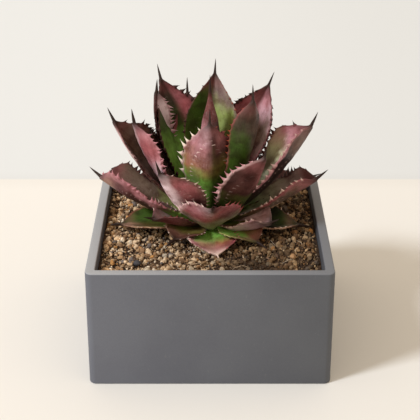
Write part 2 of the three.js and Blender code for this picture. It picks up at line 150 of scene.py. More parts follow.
# Leaves, as in the part's source: ring, place, base angle, tip angle, reach, tip height, rise, half width,
# own values
LEAVES = [
    ("low", "front", -88, -83, 66, 95, 8, 21, dict(spine=7)),
    ("low", "front_left", -128, -128, 63, 99, 8, 20, dict(lift=3)),
    ("low", "front_right", -48, -47, 73, 99, 8, 21, dict(lift=3)),
    ("low", "left", -170, -178, 92, 98, 10, 22, {}),
    ("low", "right", -10, -4, 91.5, 98, 10, 22, {}),
    ("low", "back_left", 152, 148, 92, 101, 10, 20, dict(lift=3)),
    ("low", "back_right", 30, 34, 92, 101, 10, 20, dict(lift=3)),
    ("low", "back", 90, 90, 80, 98, 10, 20, {}),
    ("spread", "front_left", -150, -150, 66, 120, 18, 21, dict(spine=9)),
    ("spread", "front_right", -34, -28, 68, 118, 2, 23, dict(spine=9, fold=28, widest=0.82, foot=0.5)),
    ("spread", "front", -90, -88, 66, 146, 34, 28, dict(spine=7, widest=0.5, fold=27)),
    ("spread", "back_left", 118, 118, 98, 112, 12, 22, {}),
    ("spread", "back_right", 66, 66, 98, 112, 12, 22, {}),
    ("outer", "left", 190, 171, 108, 146, 17, 25, dict(fold=46, roll=-14, widest=0.82, foot=0.5)),
    ("outer", "right", 5, -2, 102.5, 152, 12, 22, dict(fold=33, roll=-12, widest=0.82, foot=0.7)),
    ("outer", "back_left", 144, 142, 102, 121, 12, 24, {}),
    ("outer", "back_right", 35, 29, 117, 122, 11, 24, {}),
    ("middle", "front_left", -132, -133, 66, 179, 34, 29, {}),
    ("middle", "front_right", -48, -47, 68, 190, 38, 27, dict(spine=8)),
    ("middle", "left", 166, 170, 90, 202, 34, 29, dict(roll=-14)),
    ("middle", "right", -2, 14, 97, 195, 34, 28, dict(fold=36, roll=11, widest=0.8, foot=0.45)),
    ("middle", "back_right", 58, 60, 84, 186, 38, 25, {}),
    ("middle", "back", 88, 86, 94, 165, 28, 26, {}),
    ("middle", "back_left", 112, 107, 70, 212, 48, 25, {}),
    ("upper", "left", -183, 183, 66.5, 208, 36, 25, dict(fold=28, roll=15, widest=0.76, foot=0.55)),
    ("upper", "front", -92, -90, 28, 218, 62, 26, {}),
    ("upper", "back_left", 130, 131, 71, 229, 54, 29, {}),
    ("upper", "back_right", 50, 32, 66, 228, 52, 27, dict(fold=33, roll=26, widest=0.62, foot=0.42)),
    ("inner", "left", 140, 160, 48, 227.5, 24, 10.5, dict(fold=30, roll=-4, widest=0.8, foot=0.35)),
    ("inner", "right", -38, -28, 40, 235, 52, 17, dict(fold=30, roll=-24, widest=0.74, foot=0.45)),
    ("inner", "back", 86, 76, 20, 245, 76, 27, {}),
]


def both(*tones):
    """The same tones for the two halves of a face."""
    return tones, tones


# Looks of the leaves. under and upper are the faces, each with the tones of its two halves from base to tip;
# the first half is the one on the right of somebody who stands at the stem and looks along the leaf.
# The tones of the halves are the leaves' own colours with painted light and shade in them: shaded halves
# carry painted shade, and lit strips carry pale tones that are partly painted light.
# division moves the border of the halves, in half widths of the blade. The keel stripe, along the middle of
# the under face, is partly the bloom's pale colour and partly a painted highlight for a lit strip of the
# fold;
# rims are the two margins, each as a width in millimetres and a tone. teeth are the tones
# of the horns on the margins, pitch is the distance between them and tooth_size their size. press says how
# clearly a neighbour's margin is printed on the leaf, bloom how powdery it is; spine is the tone of its tip.
PLAIN_UNDER = [LEAF_GREEN, OLIVE, BROWN, BURGUNDY, BURGUNDY]
PLAIN_LOOK = dict(
    under=(PLAIN_UNDER, PLAIN_UNDER), upper=both(DEEP_GREEN, DEEP_GREEN, BROWN, WINE, WINE),
    rims=((1.5, WINE), (1.5, WINE)), teeth=(DARK_HORN, DARK_HORN), pitch=5.2, tooth_size=1.0,
    press=0.3, bloom=0.10, spine=DARK_HORN, division=0.0,
)
OLD_LEAF = dict(
    under=([OLIVE, OLIVE, BROWN, BROWN], [OLIVE, OLIVE, BROWN, TAN]),
    upper=both(DEEP_GREEN, OLIVE, OLIVE, BROWN),
    rims=((2.0, TAN), (2.0, TAN)), teeth=(PALE_HORN, PALE_HORN), tooth_size=0.8, press=0.0,
)
LOOKS = {
    "low_front": dict(
        upper=([LEAF_GREEN] * 3 + [TAN, ROSE], [LEAF_GREEN] * 3 + [APRICOT, ROSE]),
        rims=((5.5, ROSE), (4.0, RED_ROSE)), teeth=(PALE_HORN, RED_ROSE), spine=PALE_HORN, press=0.0),
    "low_front_left": dict(
        OLD_LEAF, upper=([OLIVE, DEEP_GREEN, OLIVE, BROWN], [DEEP_GREEN, OLIVE, OLIVE, BROWN]),
        rims=((2.2, TAN), (3.0, BROWN))),
    "low_front_right": dict(
        OLD_LEAF, upper=([LEAF_GREEN] * 3 + [TAN], [DEEP_GREEN, OLIVE, OLIVE, APRICOT]),
        rims=((3.0, YELLOW_GREEN), (2.0, APRICOT))),
    "low_left": dict(
        OLD_LEAF, upper=([DEEP_GREEN] * 4, [OLIVE, DEEP_GREEN, OLIVE, TAN]),
        rims=((2.0, APRICOT), (4.5, TAN))),
    "low_right": dict(
        OLD_LEAF, upper=both(PAINTED_SHADE_GREEN, PAINTED_SHADE_GREEN, PAINTED_SHADE_GREEN, DEEP_GREEN),
        under=([DEEP_GREEN, DEEP_GREEN, OLIVE, TAN], [DEEP_GREEN, OLIVE, BROWN, TAN]),
        rims=((1.3, TAN), (1.0, BROWN))),
    "spread_front_left": dict(
        under=([OLIVE, WINE, WINE, WINE], [OLIVE, BROWN, BURGUNDY, WINE]),
        upper=([SAGE, SAGE, GREY_PINK, GREY_PINK], [SAGE, GREY_PINK, GREY_PINK, ROSE]),
        rims=((2.0, ROSE), (2.0, WINE)), teeth=(PALE_HORN, RED_HORN)),
    "spread_front_right": dict(
        under=([LEAF_GREEN, SAGE, BRIGHT_LILAC, BRIGHT_LILAC, PALE_LILAC], [OLIVE, BROWN, BROWN, BROWN]),
        upper=([SAGE, RED_ROSE, ROSE, PALE_PINK, PALE_PINK], [SAGE, GREY_BROWN] + [PALE_PINK] * 3),
        rims=((2.4, PALE_PINK), (1.5, PALE_PINK)), teeth=(PALE_HORN, RED_HORN), tooth_size=1.2),
    "spread_front": dict(
        under=([SAGE, PALE_GREEN, SAGE, RED_ROSE, ROSE, PALE_LILAC],
               [SAGE, PALE_GREEN, SAGE, BURGUNDY, RED_ROSE, BURGUNDY]),
        upper=both(BURGUNDY, BURGUNDY, BURGUNDY), rims=((3.0, PALE_PINK), (2.5, RED_ROSE)),
        teeth=(PALE_HORN, RED_HORN), pitch=7.0, tooth_size=1.4, bloom=0.2),
    "outer_left": dict(
        under=([OLIVE, BROWN, WINE, BROWN, BURGUNDY],
               [LEAF_GREEN, LEAF_GREEN, DARK_WINE, DARK_WINE, BURGUNDY, TAN]),
        upper=([LEAF_GREEN, YELLOW_GREEN, GREY_BROWN, GREY_BROWN, BURGUNDY],
               [LEAF_GREEN, OLIVE, GREY_BROWN, BROWN, BURGUNDY]),
        rims=((1.6, WINE), (8.0, ROSE)), teeth=(DARK_HORN, ROSE), pitch=5.0, tooth_size=1.45, press=0.6),
    "outer_right": dict(
        under=([DEEP_GREEN, OLIVE, GREY_BROWN, GREY_BROWN, RED_ROSE], [OLIVE, BROWN, WINE, WINE, BURGUNDY]),
        upper=([DEEP_GREEN, GREY_BROWN, SAGE, GREY_PINK, RED_ROSE],
               [DEEP_GREEN, DEEP_GREEN, SAGE, GREY_PINK, BURGUNDY]),
        rims=((4.5, RED_ROSE), (1.6, WINE)), teeth=(PALE_HORN, DARK_HORN),
        pitch=5.0, tooth_size=1.3, press=0.5),
    "middle_front_left": dict(
        under=([SAGE] + [PALE_PINK] * 3 + [ROSE], [DEEP_GREEN, BROWN, WINE, BURGUNDY, RED_ROSE, BROWN]),
        upper=both(OLIVE, BROWN, WINE, WINE), painted_keel_light=(8.0, PALE_LILAC),
        rims=((1.5, PALE_PINK), (3.5, BROWN)), teeth=(ROSE, PALE_HORN), press=0.5, bloom=0.16),
    "middle_front_right": dict(
        under=([PAINTED_SHADE_GREEN, DEEP_GREEN, DEEP_GREEN, DARK_WINE, WINE, BURGUNDY],
               [DEEP_GREEN] * 3 + [DARK_WINE, BURGUNDY, RED_ROSE]),
        upper=both(OLIVE, BROWN, WINE, WINE),
        rims=((2.2, PALE_PINK), (1.5, BURGUNDY)), teeth=(ROSE, RED_HORN), pitch=5.6, tooth_size=1.25),
    "middle_left": dict(
        under=([BROWN] * 3 + [GREY_PINK, PALE_PINK], [BROWN] * 3 + [PALE_PINK] * 2),
        upper=both(DEEP_GREEN, BROWN, GREY_PINK, GREY_BROWN, BROWN),
        rims=((1.4, WINE), (1.4, WINE)), tooth_size=1.2),
    "middle_right": dict(
        under=([PAINTED_SHADE_GREEN] * 2 + [PAINTED_SHADE_RED] * 3 + [BROWN, GREY_BROWN], [WINE] * 3),
        upper=([DEEP_GREEN, OLIVE, OLIVE, GREY_PINK, PALE_PINK, PALE_PINK, RED_ROSE],
               [OLIVE, OLIVE, OLIVE, SAGE, PALE_GREEN, ROSE, RED_ROSE]),
        rims=((3.2, ROSE), (1.6, BURGUNDY)), teeth=(PALE_PINK, DARK_HORN),
        pitch=6.0, tooth_size=1.5, press=0.6),
    "middle_back_left": dict(upper=both(DEEP_GREEN, WINE, RED_ROSE, ROSE)),
    "upper_left": dict(
        under=([OLIVE, BROWN, BURGUNDY, ROSE],
               [SAGE, PALE_PINK, PALE_LILAC, PALE_LILAC, ROSE, RED_ROSE, ROSE]), painted_keel_light=(3.0, PALE_LILAC),
        upper=([OLIVE, GREY_PINK, GREY_BROWN, BROWN, BROWN], [OLIVE, BROWN, WINE, WINE]),
        rims=((1.5, WINE), (1.2, ROSE)), teeth=(DARK_HORN, ROSE), tooth_size=1.5, bloom=0.12),
    "upper_front": dict(
        under=([DEEP_GREEN] + [LEAF_GREEN] * 4 + [APRICOT, ROSE, BRIGHT_LILAC, LILAC],
               [PAINTED_SHADE_GREEN] * 2 + [DEEP_GREEN] * 3 + [OLIVE, DARK_WINE, BURGUNDY, BURGUNDY]),
        upper=both(DEEP_GREEN, BURGUNDY, BURGUNDY), rims=((1.6, PALE_PINK), (1.6, BURGUNDY)),
        teeth=(CREAM_HORN, RED_HORN), pitch=7.4, tooth_size=1.8, press=1.0, bloom=0.16),
    "upper_back_left": dict(
        upper=([DEEP_GREEN, DEEP_GREEN, WINE, BURGUNDY, RED_ROSE, BURGUNDY],
               [PAINTED_SHADE_GREEN, DEEP_GREEN, LEAF_GREEN, LEAF_GREEN, DEEP_GREEN, MOSS, WINE]),
        rims=((1.8, WINE), (1.2, WINE)), pitch=5.6, tooth_size=1.6, division=-0.42),
    "upper_back_right": dict(
        under=([OLIVE, BROWN, BURGUNDY, ROSE], PLAIN_UNDER),
        upper=([PAINTED_SHADE_GREEN, PAINTED_SHADE_GREEN, BROWN, WINE, GREY_BROWN, LILAC, ROSE],
               [DEEP_GREEN, BURGUNDY, ROSE, RED_ROSE, WINE]),
        rims=((1.2, BURGUNDY), (1.6, WINE)), tooth_size=1.3, press=0.5, bloom=0.14),
    "inner_left": dict(
        under=both(OLIVE, BROWN, WINE, WINE),
        upper=([DEEP_GREEN, GREY_BROWN] + [PALE_LILAC] * 3, [OLIVE, BROWN, WINE, WINE, WINE]),
        rims=((1.0, LILAC), (1.8, WINE)), teeth=(LILAC, DARK_HORN), pitch=5.0, tooth_size=1.3, bloom=0.2),
    "inner_right": dict(
        under=([DEEP_GREEN] * 5 + [MOSS, BROWN], [DEEP_GREEN] * 4 + [MOSS, MOSS, BROWN]),
        upper=both(DEEP_GREEN, WINE, WINE),
        rims=((1.0, RED_HORN), (1.2, WINE)), teeth=(RUST, RED_HORN), tooth_size=0.8, press=0.0),
    "inner_back": dict(
        upper=([LEAF_GREEN, LEAF_GREEN, APRICOT, LIME, LIME, LIME, GREY_PINK, GREY_PINK],
               [LEAF_GREEN, YELLOW_GREEN, LEAF_GREEN, DEEP_GREEN, DEEP_GREEN, WINE]),
        rims=((5.0, GREY_PINK), (1.0, WINE)), teeth=(RUST, DARK_HORN), tooth_size=0.8, press=0.4),
}

BLADE_ROWS = 110
TIP_ROWS = 22
TIP_ROWS_FROM = 8.0
SPINE_BLUNT = 0.04
COLUMNS = 21
TEETH_FROM = 0.2
TEETH_TO = 0.955
TOOTH_SIDES = 6
TOOTH_RINGS = 4
TOOTH_HEIGHT = 3.5
TOOTH_SUNK = 0.5
TOOTH_HOOK = 0.35
TOOTH_ROOT = 1.7
PRINT_SPACING = 4.2


# Numbers

RIPPLE_WAVES = 5


def smoothstep(low, high, value):
    share = np.clip((value - low) / (high - low), 0.0, 1.0)
    return share * share * (3.0 - 2.0 * share)


def mixed(first, second, share):
    """Blend of two tones by an array of shares."""
    share = np.asarray(share)[..., None]
    return np.asarray(first) * (1.0 - share) + np.asarray(second) * share


def ripple(points, size, seed):
    """Smooth seeded wobble between about -1 and 1, with features of a given size."""
    random = np.random.default_rng(seed)
    total = np.zeros(points.shape[:-1])
    for _ in range(RIPPLE_WAVES):
        direction = random.normal(size=points.shape[-1])
        direction /= np.linalg.norm(direction)
        pace = 2 * math.pi / (size * random.uniform(0.7, 1.6))
        total += np.sin(points @ direction * pace + random.uniform(0, 2 * math.pi))
    return total / math.sqrt(RIPPLE_WAVES * 1.2)


def unit(vectors):
    return vectors / np.linalg.norm(vectors, axis=-1, keepdims=True)


# Meshes

def linked(name, data):
    """Object of the scene from a mesh, a lamp or a lens."""
    thing = bpy.data.objects.new(name, data)
    bpy.context.scene.collection.objects.link(thing)
    return thing


def mesh_object(name, points, faces, material, smooth=True, **attributes):
    """Object from points in millimetres. Attributes are one number or one tone for each point."""
    mesh = bpy.data.meshes.new(name)
    mesh.from_pydata((np.asarray(points) * MM).tolist(), [], faces)
    mesh.validate()
    mesh.update()
    mesh.polygons.foreach_set("use_smooth", [smooth] * len(mesh.polygons))
    for key, values in attributes.items():
        values = np.asarray(values, dtype=np.float32)
        if values.ndim == 1:
            mesh.attributes.new(key, "FLOAT", "POINT").data.foreach_set("value", values)
        else:
            rgba = np.concatenate([values, np.ones((len(values), 1), np.float32)], axis=1)
            mesh.attributes.new(key, "FLOAT_COLOR", "POINT").data.foreach_set("color", rgba.ravel())
    mesh.materials.append(material)
    return linked(name, mesh)


def install(piece, slot, *nodes):
    """The piece rides on the frame and stands for nodes; slot is not used."""
    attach(piece, BODY)
    if nodes:
        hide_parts(*nodes)


class Build:
    """Points, faces and per-point values gathered for one mesh."""

    def __init__(self):
        self.points = []
        self.faces = []
        self.values = {}
        self.count = 0

    def add(self, points, faces, **values):
        """Adds points with their faces and the values of the points."""
        first = self.count
        self.points.append(np.asarray(points, dtype=float))
        self.faces += [tuple(first + k for k in face) for face in faces]
        for key, value in values.items():
            self.values.setdefault(key, []).append(np.asarray(value, dtype=float))
        self.count += len(points)

    def object(self, name, material, smooth=True):
        joined = {key: np.concatenate(value) for key, value in self.values.items()}
        return mesh_object(name, np.concatenate(self.points), self.faces, material, smooth, **joined)


def ring_faces(rows, around):
    """Quads of a tube of rows of closed rings."""
    faces = []
    for row in range(rows - 1):
        low = row * around
        high = low + around
        for k in range(around):
            nxt = (k + 1) % around
            faces.append((low + k, low + nxt, high + nxt, high + k))
    return faces


def closed_tube(rows, around):
    """The same tube with a face at each end."""
    last = (rows - 1) * around
    return ring_faces(rows, around) + [tuple(reversed(range(around))), tuple(range(last, last + around))]


# Materials

def new_material(name):
    material = bpy.data.materials.new(name)
    material.use_nodes = True
    return material, Nodes(material.node_tree)


class Nodes:
    """Short calls for the nodes of one material."""

    def __init__(self, tree):
        self.tree = tree
        self.shader = tree.nodes["Principled BSDF"]

    def new(self, kind, inputs=(), **settings):
        """Node with its settings, and with numbers or outputs for its inputs."""
        node = self.tree.nodes.new(kind)
        for key, value in settings.items():
            setattr(node, key, value)
        for key, value in dict(inputs).items():
            self.feed(node.inputs[key], value)
        return node

    def feed(self, socket, value):
        """Links an output to a socket, or sets a constant on it."""
        if isinstance(value, bpy.types.NodeSocket):
            self.tree.links.new(value, socket)
        else:
            socket.default_value = value

    def attribute(self, name, output="Fac"):
        return self.new("ShaderNodeAttribute", attribute_name=name).outputs[output]

    def place(self):
        return self.new("ShaderNodeTexCoord").outputs["Object"]

    def math(self, operation, first, second=0.0):
        return self.new("ShaderNodeMath", {0: first, 1: second}, operation=operation).outputs[0]

    def times(self, first, second):
        return self.math("MULTIPLY", first, second)

    def noise(self, vector, scale, detail, roughness=0.55):
        inputs = {"Vector": vector, "Scale": scale, "Detail": detail, "Roughness": roughness}
        return self.new("ShaderNodeTexNoise", inputs).outputs["Fac"]

    def between(self, value, low, high, first=0.0, last=1.0):
        """Smooth change from first to last as the value goes from low to high."""
        inputs = {"Value": value, "From Min": low, "From Max": high, "To Min": first, "To Max": last}
        return self.new("ShaderNodeMapRange", inputs, interpolation_type="SMOOTHSTEP").outputs["Result"]

    def mix(self, share, first, second, blend="MIX"):
        inputs = {"Factor": share}
        for socket, value in ((6, first), (7, second)):
            inputs[socket] = value if isinstance(value, bpy.types.NodeSocket) else (*value, 1.0)
        return self.new("ShaderNodeMix", inputs, data_type="RGBA", blend_type=blend).outputs[2]

    def bump(self, height, strength, distance):
        inputs = {"Height": height, "Strength": strength, "Distance": distance}
        return self.new("ShaderNodeBump", inputs).outputs["Normal"]

    def finish(self, colour, roughness, normal, specular):
        inputs = {"Base Color": colour, "Roughness": roughness, "Normal": normal}
        inputs["Specular IOR Level"] = specular
        for key, value in inputs.items():
            self.feed(self.shader.inputs[key], value)


# Tones of the materials' details, linear
MOTTLE = (0.55, 0.42, 0.40)
STRIA = (0.62, 0.54, 0.50)
WAX_STREAK = (0.60, 0.42, 0.40)
WAX_DUST = (0.62, 0.48, 0.52)
PRINT = (0.82, 0.60, 0.54)
CEMENT_DARK = (0.119, 0.126, 0.154)
CEMENT_PALE = (0.138, 0.146, 0.174)
# Painted shade for the pot body, darker toward the right, and painted light for its rim top
CEMENT_SHADE = (0.70, 0.70, 0.66)
PAINTED_RIM_LIGHT = (0.38, 0.39, 0.41)
CEMENT_GRAIN = (0.78, 0.78, 0.78)
CEMENT_SPECK = (0.30, 0.30, 0.30)
GRIT_SPECK = (0.13, 0.08, 0.045)


def leaf_material():
    """Waxy leaf: painted tone, lengthwise striae, powdery bloom and the print of a neighbour's teeth."""
    material, nodes = new_material("agave_leaf")
    place = nodes.place()
    tone = nodes.attribute("tone", "Color")
    arc = nodes.attribute("arc")
    across = nodes.attribute("across")
    bloom = nodes.attribute("bloom")
    lengthwise = nodes.new("ShaderNodeCombineXYZ", {0: nodes.times(across, 9.0), 1: nodes.times(arc, 0.05)})
    striae = nodes.noise(lengthwise.outputs[0], 3.2, 4.0, 0.6)
    blotch = nodes.noise(place, 90.0, 4.0, 0.6)
    fine = nodes.noise(place, 620.0, 3.0, 0.6)

    colour = nodes.mix(nodes.between(blotch, 0.40, 0.66, 0.0, 0.9), tone, MOTTLE, "MULTIPLY")
    colour = nodes.mix(nodes.between(striae, 0.48, 0.30, 0.0, 0.7), colour, STRIA, "MULTIPLY")
    colour = nodes.mix(nodes.times(bloom, nodes.between(striae, 0.50, 0.75, 0.0, 1.6)), colour, WAX_STREAK)
    colour = nodes.mix(nodes.times(bloom, nodes.between(fine, 0.3, 0.75, 0.25, 1.0)), colour, WAX_DUST)
    printed = printed_margin(nodes, place, arc)
    colour = nodes.mix(nodes.times(printed, 0.6), colour, PRINT)
    colour = nodes.mix(nodes.attribute("horn"), colour, tone)

    relief = nodes.math("ADD", nodes.times(striae, 0.7), nodes.times(fine, 0.3))
    relief = nodes.math("SUBTRACT", relief, nodes.times(printed, 0.5))
    rough = nodes.between(blotch, 0.3, 0.8, 0.40, 0.55)
    nodes.finish(colour, rough, nodes.bump(relief, 0.35, 0.0012), 0.17)
    return material


def printed_margin(nodes, place, arc):
    """Short pale strokes on one side of the line where a neighbour's margin lay."""
    inside = nodes.attribute("press")
    uneven = nodes.times(nodes.noise(place, 160.0, 2.0), 5.0)
    step = nodes.math("FRACT", nodes.math("DIVIDE", nodes.math("ADD", arc, uneven), PRINT_SPACING))
    from_middle = nodes.math("ABSOLUTE", nodes.math("SUBTRACT", step, 0.5))
    spike = nodes.math("MAXIMUM", nodes.math("SUBTRACT", 1.0, nodes.times(from_middle, 5.0)), 0.0)
    below = nodes.between(nodes.math("SUBTRACT", nodes.times(spike, 4.0), inside), 0.0, 0.8)
    above = nodes.between(inside, -0.3, 0.5)
    patchy = nodes.between(nodes.noise(place, 60.0, 2.0), 0.4, 0.6, 0.15, 1.0)
    return nodes.times(nodes.times(nodes.times(below, above), nodes.attribute("printed")), patchy)


def pot_material():
    """Smooth grey cement with faint clouds and pale specks, a painted lighter rim top and painted shade
    toward the right.
    """
    material, nodes = new_material("pot_cement")
    place = nodes.place()
    cloud = nodes.noise(place, 16.0, 4.0, 0.55)
    grain = nodes.noise(place, 950.0, 2.0, 0.6)
    speck = nodes.noise(place, 420.0, 1.0, 0.4)
    colour = nodes.mix(nodes.between(cloud, 0.3, 0.7), CEMENT_DARK, CEMENT_PALE)
    # Painted shade darkens the body toward the right; painted light lightens the rim top, most at the sunny
    # left.
    colour = nodes.mix(nodes.attribute("shade"), colour, CEMENT_SHADE, "MULTIPLY")
    colour = nodes.mix(nodes.attribute("rim"), colour, PAINTED_RIM_LIGHT)
    colour = nodes.mix(nodes.between(grain, 0.3, 0.75, 0.0, 0.3), colour, CEMENT_GRAIN, "MULTIPLY")
    colour = nodes.mix(nodes.between(speck, 0.70, 0.80, 0.0, 0.08), colour, CEMENT_SPECK)
    normal = nodes.bump(nodes.math("ADD", grain, nodes.times(cloud, 2.0)), 0.2, 0.0004)
    nodes.finish(colour, nodes.between(cloud, 0.3, 0.7, 0.52, 0.64), normal, 0.4)
    return material


def grit_material(name, rough, speckle):
    """Mineral grains: each keeps its own painted tone, with specks and small pits."""
    material, nodes = new_material(name)
    fine = nodes.noise(nodes.place(), 900.0, 3.0, 0.65)
    share = nodes.between(fine, 0.35, 0.7, 0.0, speckle)
    colour = nodes.mix(share, nodes.attribute("tone", "Color"), GRIT_SPECK)
    nodes.finish(colour, rough, nodes.bump(fine, 0.6, 0.0008), 0.3)
    return material


# Leaves

def leaf_plan(ring, place, base_angle, tip_angle, reach, tip_height, rise, half_width, own):
    """Curve, widths and look of one leaf from its line in the table."""
    base_height, base_radius, fold = RINGS[ring]
    away = math.radians(base_angle)
    out = np.array([math.cos(away), math.sin(away), 0.0])
    base = PLANT_AXIS + out * (base_radius - BASE_SUNK)
    base[2] = base_height + own.get("lift", 0)
    toward = math.radians(tip_angle)
    tip = PLANT_AXIS + np.array([reach * math.cos(toward), reach * math.sin(toward), tip_height])
    climb = math.radians(rise)
    pull = PULL * np.linalg.norm(tip - base)
    bend = base + pull * (out * math.cos(climb) + np.array([0.0, 0.0, math.sin(climb)]))
    share = np.linspace(0, 1, CURVE_STEPS)[:, None]
    curve = (1 - share) ** 2 * base + 2 * share * (1 - share) * bend + share ** 2 * tip
    reached = np.concatenate([[0], np.cumsum(np.linalg.norm(np.diff(curve, axis=0), axis=1))])
    length = reached[-1]
    return dict(
        name=f"leaf_{ring}_{place}",
        ends=(base, bend, tip),
        reached=reached,
        length=length,
        blade=length - own.get("spine", SPINE_LENGTH),
        side=np.array([-math.sin(away), math.cos(away), 0.0]),
        half_width=half_width,
        fold=math.radians(own.get("fold", fold)),
        roll=math.radians(own.get("roll", 0)),
        widest=own.get("widest", WIDEST_AT),
        foot=own.get("foot", FOOT_WIDTH_SHARE),
        look={**PLAIN_LOOK, **LOOKS.get(f"{ring}_{place}", OLD_LEAF if ring == "low" else {})},
    )


def width_share(share, widest, foot):
    """Half width of a blade as a share of its greatest one, at shares of its length."""
    rising = foot + (1 - foot) * smoothstep(0, widest, share)
    beyond = np.clip((share - widest) / (1 - widest), 0, 1)
    falling = np.maximum(1 - beyond ** SHOULDER_POWER, 0) ** SHOULDER_SHARPNESS
    return np.where(share < widest, rising, falling)


def blade_width(leaf, distance):
    """Half width of the blade without its spine."""
    along = np.minimum(distance / leaf["blade"], 0.97)
    return leaf["half_width"] * width_share(along, leaf["widest"], leaf["foot"])


def leaf_frames(leaf, distance):
    """Centres, tangents, across and up directions at distances along a leaf."""
    base, bend, tip = leaf["ends"]
    t = np.interp(distance, leaf["reached"], np.linspace(0, 1, CURVE_STEPS))[:, None]
    centre = (1 - t) ** 2 * base + 2 * t * (1 - t) * bend + t ** 2 * tip
    tangent = unit(2 * (1 - t) * (bend - base) + 2 * t * (tip - bend))
    across = unit(leaf["side"] - (tangent @ leaf["side"])[:, None] * tangent)
    up = np.cross(tangent, across)
    roll = (leaf["roll"] * smoothstep(0.1, 1, distance / leaf["length"]))[:, None]
    rolled = across * np.cos(roll) + up * np.sin(roll)
    return centre, tangent, rolled, np.cross(tangent, rolled)


def leaf_surface(leaf, distance, column, bulge=0.0):
    """Upper and lower points of a leaf at distances by columns."""
    centre, _, across, up = leaf_frames(leaf, distance)
    along = distance / leaf["blade"]
    left = np.maximum(leaf["length"] - distance, 0)
    spine = SPINE_HALF_WIDTH * (left / SPINE_TAPER_LENGTH) ** SPINE_TAPER_POWER
    spine = spine * smoothstep(leaf["blade"] - SPINE_SETS_IN, leaf["blade"] - SPINE_FULL, distance)
    half = np.hypot(leaf["half_width"] * width_share(along, leaf["widest"], leaf["foot"]), spine)
    swell = MID_THICKNESS * (1 - THINNING * smoothstep(0.1, 0.95, along))
    thick = np.minimum(swell, THICKEST_OF_WIDTH * half)[:, None]
    flat = 1 - smoothstep(leaf["blade"] - FLAT_FROM, leaf["blade"] + FLAT_TO, distance)
    fold = (leaf["fold"] * flat * (FOLD_AT_BASE + FOLD_GAIN * smoothstep(0.2, 0.95, along)))[:, None]
    crease = (CREASE_AT_BASE - CREASE_LOSS * smoothstep(0.2, 0.9, along))[:, None]
    v = column[None, :]
    bow = np.hypot(v, crease)
    slope = np.sin(fold) * v / bow
    run = np.cos(fold) * np.ones_like(v)
    tilt = np.hypot(run, slope)[..., None]
    normal = (up[:, None] * run[..., None] - across[:, None] * slope[..., None]) / tilt
    wide = half[:, None] + bulge * np.abs(v) ** 8
    upper = centre[:, None] + across[:, None] * (wide * v * np.cos(fold))[..., None]
    upper = upper + up[:, None] * (wide * np.sin(fold) * (bow - crease))[..., None]
    edge = np.minimum(MARGIN_THICKNESS, thick * THICKEST_MARGIN)
    depth = edge + (thick - edge) * (1 - v * v)
    lower = upper - normal * depth[..., None]
    crown = 0.5 * (1 - flat)[:, None] * thick * np.sqrt(np.maximum(1 - v * v, 0))
    return upper + up[:, None] * crown[..., None], lower


def planned_teeth(leaf, random):
    """Places of the marginal teeth: side, distance and size."""
    look = leaf["look"]
    teeth = []
    for side in (-1, 1):
        distance = leaf["blade"] * TEETH_FROM
        while distance < leaf["blade"] * TEETH_TO:
            along = distance / leaf["blade"]
            size = (0.55 + 0.45 * math.sin(math.pi * min(along, 0.98) ** 1.2)) * random.uniform(0.7, 1.25)
            teeth.append((side, distance, size * look["tooth_size"]))
            distance += look["pitch"] * random.uniform(0.68, 1.3) * (1.1 - 0.25 * along)
    return teeth


def margin_bulge(distance, column, teeth):
    """Swellings of the margin that carry the teeth, in millimetres."""
    bulge = np.zeros((len(distance), len(column)))
    for side, middle, size in teeth:
        near = np.exp(-((distance - middle) / 1.5) ** 2)[:, None]
        bulge += 1.2 * size * near * (np.sign(column)[None, :] == side)
    return bulge


def tones_along(tones, share):
    """Tones at shares of a leaf's length, from a list that is spaced evenly from base to tip."""
    tones = np.asarray(tones)
    place = np.clip(share, 0, 1) * (len(tones) - 1)
    first = np.minimum(place.astype(int), len(tones) - 2)
    return mixed(tones[first], tones[first + 1], place - first)


def face_tones(leaf, upper_side, distance, column, points, seed):
    """Painted tone of one face of a leaf, and the share of horn in it."""
    look = leaf["look"]
    halves = look["upper" if upper_side else "under"]
    along = (distance / leaf["blade"])[:, None] * np.ones_like(column)
    v = column[None, :] * np.ones_like(along)
    wobble = ripple(points, 26.0, seed)
    small = ripple(points, 9.0, seed + 1)
    streak = np.sin(7.0 * v + 2.0 * wobble) * 0.02 + np.sin(17.0 * v + seed) * 0.012
    place = along + 0.035 * wobble + 0.02 * small + streak - 0.05 * np.abs(v) ** 2 + 0.03
    # The halves' tones carry painted shade on shaded halves and, on lit strips, pale tones that are partly
    # painted light.
    second = smoothstep(-0.14, 0.14, v + 0.04 * small - look["division"])
    tone = mixed(tones_along(halves[0], place), tones_along(halves[1], place), second)
    tone = tone * (1 + 0.10 * wobble + 0.08 * small)[..., None]
    width = blade_width(leaf, distance)[:, None]
    grown = smoothstep(0.25, 0.5, along + 0.06 * wobble)
    for sign, (rim_width, rim_tone) in zip((-1, 1), look["rims"]):
        inside = (1 - np.abs(v)) * width - 0.25 * rim_width * small
        share = smoothstep(1.15 * rim_width, 0.35 * rim_width, inside) * (np.sign(v) == sign) * grown
        tone = mixed(tone, rim_tone, 0.85 * share)
    # Pale stripe along the middle of the under face: partly the bloom's colour, partly a painted highlight
    # for a lit strip of the fold.
    if not upper_side and "painted_keel_light" in look:
        keel_width, keel_light_tone = look["painted_keel_light"]
        share = smoothstep(1.1 * keel_width, 0.5 * keel_width, np.abs(v) * width + 0.8 * small)
        tone = mixed(tone, keel_light_tone, 0.9 * share * smoothstep(0.25, 0.4, along))
    past = smoothstep(-10, 1.0, distance - leaf["blade"])[:, None] * np.ones_like(v)
    ripe = smoothstep(-17, -3, distance - leaf["blade"])[:, None] * (1 - past)
    tone = mixed(tone, BURGUNDY, 0.7 * ripe)
    return mixed(tone, look["spine"], past), past


def paleness(tone):
    """Share of the powdery bloom that a tone carries: little on green and dark parts."""
    return 0.12 + 0.88 * smoothstep(0.05, 0.30, tone[..., 0])


